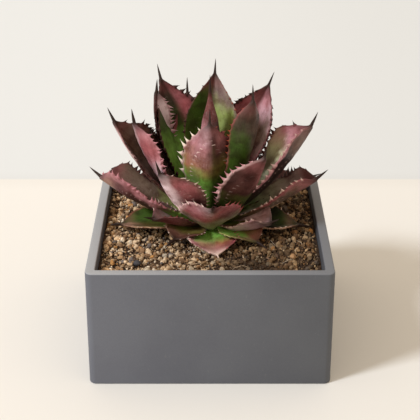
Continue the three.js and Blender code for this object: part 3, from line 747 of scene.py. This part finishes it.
def print_field(leaf, distance, column):
    """Distance inside the line that a neighbour's margin left on the leaf, in millimetres."""
    along = (distance / leaf["blade"])[:, None]
    line = 0.72 * width_share(np.minimum(along / 0.9, 0.999), 0.5, FOOT_WIDTH_SHARE)
    return (line - np.abs(column)[None, :]) * blade_width(leaf, distance)[:, None]


def skin(tone, **given):
    """Values that the leaf material reads at each point of a grid; those not given are zero."""
    values = dict.fromkeys(("arc", "across", "press", "printed", "bloom", "horn"), 0.0)
    values.update(given)
    spread = {key: np.broadcast_to(value, tone.shape[:-1]).ravel() for key, value in values.items()}
    return dict(tone=tone.reshape(-1, 3), **spread)


def add_tooth(build, leaf, side, middle, size, random):
    """A small curved horn on a swelling of the margin."""
    look = leaf["look"]
    height = TOOTH_HEIGHT * size
    upper, lower = leaf_surface(leaf, np.array([middle]), np.array([0.9 * side, 1.0 * side]))
    root = 0.5 * (upper[0, 1] + lower[0, 1])
    _, tangent, _, up = leaf_frames(leaf, np.array([middle]))
    outward = unit(upper[0, 1] - upper[0, 0])
    lean = unit(outward + tangent[0] * random.uniform(-0.35, 0.55) + up[0] * random.uniform(-0.1, 0.35))
    hook = unit(tangent[0] * random.uniform(-0.5, 1.0) + up[0] * 0.3)
    thin = unit(np.cross(lean, tangent[0]))
    wide = unit(np.cross(thin, lean))
    points = []
    shares = []
    for ring in range(TOOTH_RINGS + 1):
        share = ring / TOOTH_RINGS
        centre = root + lean * (height * 1.15 * share - TOOTH_SUNK) + hook * height * TOOTH_HOOK * share ** 2
        spread = TOOTH_ROOT * size * (1 - share) ** 1.5
        for k in range(TOOTH_SIDES if share < 1 else 1):
            turn = 2 * math.pi * k / TOOTH_SIDES
            points.append(centre + wide * spread * math.cos(turn) + thin * 0.45 * spread * math.sin(turn))
            shares.append(share)
    shares = np.array(shares)
    faces = ring_faces(TOOTH_RINGS, TOOTH_SIDES)
    last = (TOOTH_RINGS - 1) * TOOTH_SIDES
    faces += [(last + k, last + (k + 1) % TOOTH_SIDES, len(points) - 1) for k in range(TOOTH_SIDES)]
    half = 0 if side < 0 else 1
    tone = mixed(look["rims"][half][1], look["teeth"][half], smoothstep(-0.1, 0.45, shares))
    build.add(points, faces, **skin(tone, horn=smoothstep(0.0, 0.4, shares)))


def both_faces(upper, lower):
    """Values round a leaf's sections: the upper face, then the lower one backwards."""
    return np.concatenate([upper, lower[:, ::-1]], axis=1)


def leaf_grid(leaf):
    """Distances along a leaf and places across it, closer together on the spine and at the margins."""
    turn = leaf["blade"] - TIP_ROWS_FROM
    distance = np.concatenate([
        np.linspace(0, turn, BLADE_ROWS, endpoint=False),
        turn + (leaf["length"] - SPINE_BLUNT - turn) * np.linspace(0, 1, TIP_ROWS) ** 0.9,
    ])
    even = np.linspace(-1, 1, COLUMNS)
    return distance, 0.45 * even + 0.55 * np.sin(even * math.pi / 2)


def leaf_sway(leaf, order, distance, column, upper):
    """Shift of the surface by soft waves of the margins and shallow dents."""
    up = leaf_frames(leaf, distance)[3]
    sway = smoothstep(0, 30, distance) * smoothstep(leaf["blade"] + 2, leaf["blade"] - 12, distance)
    lift = ripple(upper, 22.0, 40 + order) * np.abs(column)[None, :] ** 2 * sway[:, None]
    dent = 0.22 * ripple(upper, 11.0, 90 + order) * sway[:, None]
    return up[:, None] * (lift + dent)[..., None]


def leaf_piece(leaf, order, material):
    """One leaf: blade, spine and teeth in one mesh."""
    random = np.random.default_rng(700 + order)
    look = leaf["look"]
    teeth = planned_teeth(leaf, random)
    distance, column = leaf_grid(leaf)
    upper, lower = leaf_surface(leaf, distance, column, margin_bulge(distance, column, teeth))
    shift = leaf_sway(leaf, order, distance, column, upper)
    upper = upper + shift
    lower = lower + shift
    upper_tone, past = face_tones(leaf, True, distance, column, upper, 300 + 7 * order)
    lower_tone, _ = face_tones(leaf, False, distance, column, lower, 500 + 7 * order)
    rows, width = upper.shape[:2]
    v = np.broadcast_to(column, (rows, width))
    arc = np.broadcast_to(distance[:, None], (rows, width))
    field = print_field(leaf, distance, column)
    printed = look["press"] * smoothstep(0.3, 0.5, arc / leaf["blade"])
    dusty = look["bloom"] * (0.5 + 0.5 * np.clip(ripple(upper, 18.0, 60 + order), -1, 1)) * (1 - past)
    values = skin(
        both_faces(upper_tone, lower_tone),
        arc=both_faces(arc, arc),
        across=both_faces(v, v + 3.0),
        press=both_faces(field, field),
        printed=both_faces(0.3 * printed, printed),
        bloom=both_faces(0.6 * dusty * paleness(upper_tone), dusty * paleness(lower_tone)),
        horn=both_faces(past, past),
    )
    faces = [face[::-1] for face in closed_tube(rows, 2 * width)]
    build = Build()
    build.add(both_faces(upper, lower).reshape(-1, 3), faces, **values)
    for side, middle, size in teeth:
        add_tooth(build, leaf, side, middle, size, random)
    install(build.object(leaf["name"] + "_fine", material), "leaf", leaf["name"])


# Bud and stem, turned round the plant's axis

AROUND = 48
BUD_ROWS = 90
BUD_PROFILE = [
    (120, 0.5), (125.3, 3.2), (140, 6.4), (158, 9.0), (180, 9.4), (198, 6.8), (212, 2.8), (219, 1.5),
    (229, 0.8), (237, 0.05),
]
BUD_SPINE_FROM = 226.0
WRAP_STEP = 0.55
WRAP_FULL_RADIUS = 5.0
WRAP_HEADING = -62.0
WRAP_TURN = 1.5
STEM_ROWS = 40
STEM_FOOT = SOIL_LEVEL - 32
STEM_PROFILE = [(STEM_FOOT, 0.1), (STEM_FOOT + 0.1, 13), (91, 13), (95, 19), (125, 3.5), (125.1, 0.1)]


def axis_grid(radius, turn, heights):
    """Grid of points round the plant's axis, one row for each height."""
    x = PLANT_AXIS[0] + radius * np.cos(turn)
    y = PLANT_AXIS[1] + radius * np.sin(turn)
    return np.stack([x, y, heights[:, None] * np.ones(len(turn))], axis=-1)


def bud_piece(material):
    """Young leaves still rolled into a spindle; one leaf edge winds round it, with a step under it."""
    heights = np.linspace(BUD_PROFILE[1][0], BUD_PROFILE[-1][0], BUD_ROWS)
    radius = np.interp(heights, *zip(*BUD_PROFILE))
    soft = np.convolve(np.pad(radius, 3, mode="edge"), np.ones(7) / 7, mode="valid")
    radius = np.where(heights > BUD_SPINE_FROM, radius, soft)[:, None]
    turn = np.linspace(0, 2 * math.pi, AROUND, endpoint=False)
    share = ((heights - heights[0]) / (heights[-1] - heights[0]))[:, None]
    edge = math.radians(WRAP_HEADING) + WRAP_TURN * (share - 0.5)
    since = np.mod(turn[None, :] - edge, 2 * math.pi)
    depth = np.minimum(radius / WRAP_FULL_RADIUS, 1.0)
    step = WRAP_STEP * (1 - since / (2 * math.pi)) * depth
    points = axis_grid(radius - WRAP_STEP * depth + step, turn, heights)

    wobble = ripple(points, 20.0, 11)
    # Painted shade: the right side of the bud, away from the light, is painted dark wine and the lit left
    # side rose.
    tone = mixed(ROSE, WINE, smoothstep(-0.9, 0.9, np.cos(turn)[None, :] + 0.3 * wobble))
    tone = mixed(tone, SAGE, 0.85 * smoothstep(0.52, 0.25, share + 0.08 * wobble))
    line = np.exp(-(since / 0.16) ** 2) + np.exp(-((2 * math.pi - since) / 0.10) ** 2)
    tone = mixed(tone, WINE, np.clip(line, 0, 1) * 0.85)
    tone = mixed(tone, DARK_RED, smoothstep(0.60, 0.68, share))
    horn = smoothstep(0.80, 0.88, share)
    tone = mixed(tone, DARK_HORN, horn)
    values = skin(
        tone, arc=heights[:, None], across=turn[None, :] / math.pi, bloom=0.14 * (1 - horn), horn=horn)
    build = Build()
    build.add(points.reshape(-1, 3), closed_tube(BUD_ROWS, AROUND)[:-1], **values)
    install(build.object("bud_fine", material), "bud", "bud")


def stem_piece(material):
    """A short cone with the scars of shed leaves."""
    place = np.linspace(0, len(STEM_PROFILE) - 1, STEM_ROWS)
    heights, radius = [np.interp(place, range(len(STEM_PROFILE)), part) for part in zip(*STEM_PROFILE)]
    turn = np.linspace(0, 2 * math.pi, AROUND, endpoint=False)
    scars = 0.4 * np.minimum(radius, 1)[:, None] * np.sin(heights[:, None] * 2.1 + 3 * turn[None, :])
    points = axis_grid(radius[:, None] + scars, turn, heights)
    wobble = ripple(points, 14.0, 21)
    tone = mixed(BROWN, LEAF_GREEN, smoothstep(96, 108, heights[:, None] + 3 * wobble))
    values = skin(tone, arc=heights[:, None], across=turn[None, :])
    build = Build()
    build.add(points.reshape(-1, 3), closed_tube(STEM_ROWS, AROUND), **values)
    install(build.object("stem_fine", material), "stem", "stem")


# Pot

CORNER_STEPS = 8
EDGE_STEPS = 5
# Reach of the painted light on the rim top from the sunny left, and of the painted shade on the body toward
# the right
RIM_SUN_FROM = -98
RIM_SUN_TO = 30
SHADE_FROM = -60
SHADE_TO = 110


def rounded_square(half, radius):
    """Points round a square with rounded corners."""
    points = []
    for corner in range(4):
        start = corner * math.pi / 2
        middle = start + math.pi / 4
        centre = (half - radius) * math.sqrt(2) * np.array([math.cos(middle), math.sin(middle)])
        for k in range(CORNER_STEPS + 1):
            turn = start + k * math.pi / 2 / CORNER_STEPS
            points.append(centre + radius * np.array([math.cos(turn), math.sin(turn)]))
    return np.array(points)


def edge_arc(half, height, radius, start):
    """Quarter turn of a profile: half widths and heights."""
    turns = [math.radians(start + 90 * k / EDGE_STEPS) for k in range(EDGE_STEPS + 1)]
    return [(half + radius * math.cos(t), height + radius * math.sin(t)) for t in turns]


def pot_piece(material):
    """Square planter with rounded edges, in one closed skin."""
    outer = POT_WIDTH / 2
    inner = INNER_WIDTH / 2
    r = EDGE_ROUND
    profile = [(outer * 0.5, 0.0)]
    profile += edge_arc(outer - r, r, r, -90)
    profile += edge_arc(outer - r, POT_HEIGHT - r, r, 0)
    profile += edge_arc(inner + r, POT_HEIGHT - r, r, 90)
    profile += [(inner, FLOOR_THICKNESS + 3), (inner - 3, FLOOR_THICKNESS), (inner * 0.5, FLOOR_THICKNESS)]
    rings = []
    for half, height in profile:
        ring = rounded_square(half, max(CORNER_RADIUS - (outer - half), 1.5))
        rings.append(np.column_stack([ring, np.full(len(ring), height)]))
    points = np.concatenate(rings)
    # Painted light: the rim top lighter, most at the sunny left. Painted shade: the body darker toward the
    # right.
    rim = smoothstep(POT_HEIGHT - 0.9, POT_HEIGHT - 0.1, points[:, 2])
    rim *= 1 - 0.75 * smoothstep(RIM_SUN_FROM, RIM_SUN_TO, points[:, 0])
    shade = smoothstep(SHADE_FROM, SHADE_TO, points[:, 0]) * (1 - rim)
    faces = closed_tube(len(rings), len(rings[0]))
    piece = mesh_object("pot_fine", points, faces, material, rim=rim, shade=shade)
    piece.data.set_sharp_from_angle(angle=math.radians(40))
    install(piece, "pot", "pot")


# Mix: a rough bed with grains, bark, fibres and pebbles on it

BED_CELLS = 110
BED_EARTH = ((0.020, 0.010, 0.006), (0.075, 0.038, 0.018))
GRAIN_TONES = [
    (0.66, 0.52, 0.35), (0.56, 0.41, 0.25), (0.42, 0.28, 0.15), (0.30, 0.18, 0.09),
    (0.20, 0.12, 0.065), (0.74, 0.66, 0.52), (0.13, 0.115, 0.11), (0.46, 0.24, 0.08),
]
GRAIN_CHANCES = [0.22, 0.20, 0.15, 0.12, 0.13, 0.09, 0.04, 0.05]
AMBER = np.array([0.95, 0.74, 0.52])
# Painted light: a tint for the grains on the sunlit side
SUNLIT_SIDE_TINT = np.array([1.0, 0.95, 0.92])
DAMP_SPOT = (33, -66)
DAMP_SIZE = 20.0
STEM_ROOM = 19
BARK_TONES = [(0.30, 0.18, 0.11), (0.16, 0.09, 0.055), (0.44, 0.31, 0.20)]
FIBRE_TONES = [(0.52, 0.38, 0.25), (0.33, 0.21, 0.12), (0.60, 0.48, 0.36)]
FIBRE_STEPS = 14
FIBRE_SIDES = 5
STONES = [
    ("stone_dark", (0.055, 0.058, 0.070), 3),
    ("stone_brown_right", (0.40, 0.22, 0.10), 4),
    ("stone_pale_left", (0.52, 0.42, 0.30), 5),
]


def bed_height(points):
    """Height of the bed at points across it."""
    slow = ripple(points[..., :2], 60.0, 5)
    quick = ripple(points[..., :2], 14.0, 6)
    return SOIL_LEVEL - 1.6 + 0.8 * slow + 0.5 * quick


def bed_piece(material):
    """Rough surface of the mix, closed by sides and a bottom just above the pot's floor."""
    half = INNER_WIDTH / 2 - 0.3
    line = np.linspace(-half, half, BED_CELLS + 1)
    x, y = np.meshgrid(line, line)
    random = np.random.default_rng(8)
    points = np.stack([x, y, np.zeros_like(x)], axis=-1)
    points[..., 2] = bed_height(points) + random.normal(0, 0.45, x.shape)
    inner = (slice(1, -1), slice(1, -1))
    points[inner][..., :2] += random.uniform(-0.5, 0.5, points[inner][..., :2].shape)
    top = points.reshape(-1, 3)
    width = BED_CELLS + 1
    faces = []
    for row in range(BED_CELLS):
        for k in range(BED_CELLS):
            a = row * width + k
            faces.append((a, a + 1, a + width + 1, a + width))
    border = list(range(width))
    border += [row * width + BED_CELLS for row in range(1, width)]
    border += [BED_CELLS * width + k for k in range(BED_CELLS - 1, -1, -1)]
    border += [row * width for row in range(BED_CELLS - 1, 0, -1)]
    foot = top[border].copy()
    foot[:, 2] = FLOOR_THICKNESS + 0.5
    first = len(top)
    count = len(border)
    for k in range(count):
        nxt = (k + 1) % count
        faces.append((border[nxt], border[k], first + k, first + nxt))
    faces.append(tuple(first + count - 1 - k for k in range(count)))
    points = np.concatenate([top, foot])
    shade = np.clip(0.5 + 0.5 * ripple(points, 22.0, 9) + random.normal(0, 0.25, len(points)), 0, 1)
    tone = mixed(*BED_EARTH, shade)
    piece = mesh_object("soil_bed", points, faces, material, smooth=False, tone=tone)
    install(piece, "soil", "soil")


def unit_ball(levels):
    """Points and faces of an icosphere."""
    ball = bmesh.new()
    bmesh.ops.create_icosphere(ball, subdivisions=levels, radius=1.0)
    points = np.array([vertex.co[:] for vertex in ball.verts])
    faces = np.array([[vertex.index for vertex in face.verts] for face in ball.faces])
    ball.free()
    return points, faces


def random_turns(random, count):
    """Random rotation matrices."""
    turns = unit(random.normal(size=(count, 4)))
    cross = np.cross(np.eye(3), turns[:, None, 1:])
    return np.eye(3) + 2 * turns[:, :1, None] * cross + 2 * cross @ cross


def grain_tones(place, random):
    """Tones of grains: painted sunlight at the left, painted shade and a more amber colour toward the right,
    damp at one spot.
    """
    count = len(place)
    # Toward the right: painted shade, and the grains' own amber colour.
    shade_and_amber_side = smoothstep(-25, 70, place[:, 0] - 0.3 * place[:, 1])
    pick = random.choice(len(GRAIN_TONES), count, p=np.array(GRAIN_CHANCES) / sum(GRAIN_CHANCES))
    tone = np.array(GRAIN_TONES)[pick] * random.uniform(0.55, 1.2, (count, 1))
    # Painted light at the sunny left; painted shade toward the right.
    sunny = smoothstep(-50, -85, place[:, 0])
    tone *= (1.2 + 0.5 * sunny - (0.95 * shade_and_amber_side * random.random(count) ** 0.5))[:, None]
    tone = mixed(tone * SUNLIT_SIDE_TINT, tone, shade_and_amber_side)
    damp = np.exp(-((place - DAMP_SPOT) ** 2).sum(axis=1) / DAMP_SIZE ** 2)
    tone = tone * (1 - 0.85 * damp)[:, None]
    return mixed(tone, tone * AMBER, 0.8 * shade_and_amber_side)


def grain_piece(name, count, levels, sizes, lift, seed, material):
    """Loose mineral grains strewn over the bed in one mesh."""
    random = np.random.default_rng(seed)
    ball, faces = unit_ball(levels)
    half = INNER_WIDTH / 2 - sizes[1] * 0.5 - 0.4
    place = random.uniform(-half, half, (count, 2))
    place = place[np.linalg.norm(place - PLANT_AXIS[:2], axis=1) > STEM_ROOM]
    count = len(place)
    size = sizes[0] + (sizes[1] - sizes[0]) * random.random(count) ** 2.4
    ranges = ((0.8, 1.25), (0.65, 1.0), (0.55, 0.85))
    stretch = np.stack([random.uniform(low, high, count) for low, high in ranges], axis=-1)
    shape = ball[None] * (1 + random.uniform(-0.2, 0.2, (count, len(ball), 1)))
    shape = shape * stretch[:, None] * (size * 0.5)[:, None, None]
    shape = np.einsum("nij,nkj->nki", random_turns(random, count), shape)
    height = bed_height(place) + size * 0.22 + random.uniform(0, lift, count)
    shape += np.column_stack([place, height])[:, None]
    tone = np.repeat(grain_tones(place, random), len(ball), axis=0)
    index = (faces[None] + (np.arange(count) * len(ball))[:, None, None]).reshape(-1, 3)
    piece = mesh_object(name, shape.reshape(-1, 3), index.tolist(), material, smooth=False, tone=tone)
    install(piece, "soil")


def strewn(random, count, half, room):
    """Random places on the mix, clear of the stem."""
    for _ in range(count):
        x, y = random.uniform(-half, half, 2)
        if math.hypot(x, y - PLANT_AXIS[1]) >= room:
            yield x, y


def bark_piece(material):
    """Thin irregular chips of bark and dry leaf."""
    random = np.random.default_rng(31)
    build = Build()
    for x, y in strewn(random, 150, 88, 24):
        sides = random.integers(5, 8)
        long = random.uniform(2.2, 6.5)
        wide = long * random.uniform(0.3, 0.65)
        turns = np.sort(random.uniform(0, 2 * math.pi, sides))
        outline = np.stack([long * np.cos(turns), wide * np.sin(turns), np.zeros(sides)], axis=-1) * 0.5
        upper = outline * 0.85 + [0, 0, random.uniform(0.4, 1.0)]
        points = np.concatenate([outline, upper])
        tilt = random.uniform(-0.35, 0.35, 2)
        heading = random.uniform(0, 2 * math.pi)
        cosine = math.cos(heading)
        sine = math.sin(heading)
        points = points @ np.array([[cosine, sine, 0], [-sine, cosine, 0], [0, 0, 1]])
        points[:, 2] += points[:, 0] * tilt[0] + points[:, 1] * tilt[1]
        points += [x, y, bed_height(np.array([x, y])) + random.uniform(1.4, 2.3)]
        tone = np.array(BARK_TONES[random.integers(3)])
        tones = np.tile(tone * random.uniform(0.7, 1.2), (len(points), 1))
        build.add(points, closed_tube(2, sides), tone=tones)
    install(build.object("bark_chips", material, smooth=False), "soil")


def fibre_piece(material):
    """Dry roots and fibres that lie on the mix."""
    random = np.random.default_rng(47)
    build = Build()
    for x, y in strewn(random, 46, 84, 26):
        length = random.uniform(7, 22)
        heading = random.uniform(0, 2 * math.pi)
        turn = heading + np.cumsum(random.normal(0, 0.16, FIBRE_STEPS))
        stride = np.stack([np.cos(turn), np.sin(turn)], -1)
        path = np.clip(np.cumsum(stride, axis=0) * length / FIBRE_STEPS + [x, y], -90, 90)
        level = bed_height(path) + 2.1 + 0.7 * np.sin(np.linspace(0, math.pi, FIBRE_STEPS))
        thick = random.uniform(0.18, 0.42) * np.sin(np.linspace(0.5, 2.9, FIBRE_STEPS))
        points = []
        for (px, py), z, r, t in zip(path, level, thick, turn):
            for k in range(FIBRE_SIDES):
                a = 2 * math.pi * k / FIBRE_SIDES
                aside = r * math.cos(a)
                points.append([px - math.sin(t) * aside, py + math.cos(t) * aside, z + r * math.sin(a)])
        tones = np.tile(FIBRE_TONES[random.integers(3)], (len(points), 1))
        build.add(points, closed_tube(FIBRE_STEPS, FIBRE_SIDES), tone=tones)
    install(build.object("dry_fibres", material), "soil")


def stone_pieces(material):
    """Pebbles, smoothed and weathered within the boxes of their nodes."""
    ball, faces = unit_ball(4)
    for node, tone, seed in STONES:
        low, high = [np.array(corner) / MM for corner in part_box(node)]
        worn = 1 - 0.10 * np.abs(ripple(ball, 1.4, seed)) - 0.02 * np.abs(ripple(ball, 0.3, seed + 1))
        points = (low + high) / 2 + ball * worn[:, None] * (high - low) / 2
        tones = np.asarray(tone) * (1 + 0.25 * ripple(ball, 0.5, seed + 2))[:, None]
        piece = mesh_object(node + "_fine", points, faces.tolist(), material, tone=tones)
        install(piece, "stone", node)


# Studio and camera: places in metres, the table top's reach in millimetres

TABLE_REACH = 4000.0
NEAR_TONE = (0.85, 0.825, 0.785)
# The far board's tone stands for an upright wall: partly its cooler colour, partly painted light.
FAR_TONE = (0.745, 0.765, 0.775)
# Painted shade: a faint dark line along the seam, and the top darker toward the right where the light falls
# off.
PAINTED_SEAM_SHADE = (0.30, 0.25, 0.20)
PAINTED_FALLOFF_SHADE = (0.30, 0.28, 0.24)
BOARD_LINE = 0.325
SUN_PLACE = (-1.73, -0.94, 1.80)
SUN_TARGET = (0.0, 0.0, 0.1)
SUN_STRENGTH = 2.3
SUN_SPREAD = 11.0
SUN_COLOUR = (0.86, 0.925, 1.0)
SKY_COLOUR = (1.0, 0.87, 0.71, 1.0)
SKY_STRENGTH = 0.78
EYE_PLACE = (0.0, -0.9706, 0.5689)
EYE_TILT = 64.9
SENSOR_WIDTH = 36.0
PICTURE_PIXELS = 420.0
FOCAL_PIXELS = 1222.0


def backdrop():
    """Wide table top; a paler board begins behind the object. The board's tone is partly the cooler colour
    of an upright wall and partly painted light; painted shade darkens the seam and the right side.
    """
    material, nodes = new_material("backdrop")
    place = nodes.place()
    x, y, _ = nodes.new("ShaderNodeSeparateXYZ", {0: place}).outputs
    colour = nodes.mix(nodes.between(y, BOARD_LINE, BOARD_LINE + 0.006), NEAR_TONE, FAR_TONE)
    from_line = nodes.math("ABSOLUTE", nodes.math("SUBTRACT", y, BOARD_LINE))
    # Painted shade: a faint dark line along the seam, and the top darker toward the right.
    colour = nodes.mix(nodes.between(from_line, 0.0, 0.03, 0.05, 0.0), colour, PAINTED_SEAM_SHADE)
    colour = nodes.mix(nodes.between(x, -0.22, 0.36, 0.0, 0.13), colour, PAINTED_FALLOFF_SHADE)
    normal = nodes.bump(nodes.noise(place, 300.0, 2.0, 0.5), 0.05, 0.0005)
    nodes.finish(colour, 0.85, normal, 0.2)
    corners = [(x * TABLE_REACH, y * TABLE_REACH, 0.0) for x, y in ((-1, -1), (1, -1), (1, 1), (-1, 1))]
    mesh_object("backdrop", corners, [(0, 1, 2, 3)], material)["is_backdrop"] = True


def sun():
    light = bpy.data.lights.new("key", "SUN")
    light.energy = SUN_STRENGTH
    light.angle = math.radians(SUN_SPREAD)
    light.color = SUN_COLOUR
    lamp = linked("key", light)
    lamp.location = SUN_PLACE
    lamp.rotation_euler = (Vector(SUN_TARGET) - Vector(SUN_PLACE)).to_track_quat("-Z", "Y").to_euler()


def studio():
    backdrop()
    sun()
    world = bpy.data.worlds.new("studio")
    world.use_nodes = True
    sky = world.node_tree.nodes["Background"]
    sky.inputs["Color"].default_value = SKY_COLOUR
    sky.inputs["Strength"].default_value = SKY_STRENGTH
    scene = bpy.context.scene
    scene.world = world
    scene.view_settings.view_transform = "Standard"


def camera():
    lens = bpy.data.cameras.new("camera")
    lens.sensor_width = SENSOR_WIDTH
    lens.lens = FOCAL_PIXELS / PICTURE_PIXELS * SENSOR_WIDTH
    eye = linked("camera", lens)
    eye.location = EYE_PLACE
    eye.rotation_euler = (math.radians(EYE_TILT), 0.0, 0.0)
    bpy.context.scene.camera = eye


# Assembly

camera()
studio()
leaf_finish = leaf_material()
grain_finish = grit_material("grit", 0.8, 0.45)
for order, entry in enumerate(LEAVES):
    leaf_piece(leaf_plan(*entry), order, leaf_finish)
bud_piece(leaf_finish)
stem_piece(leaf_finish)
pot_piece(pot_material())
bed_piece(grit_material("bed", 0.95, 0.5))
grain_piece("grit_coarse", 2500, 2, (1.9, 5.8), 1.7, 61, grain_finish)
grain_piece("grit_fine", 5200, 1, (1.0, 2.4), 1.5, 62, grain_finish)
bark_piece(grain_finish)
fibre_piece(grain_finish)
stone_pieces(grit_material("pebble", 0.55, 0.25))

boxes = {"cad": cad_box, "visual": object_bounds()}
{key: [list(corner) for corner in box] for key, box in boxes.items()}
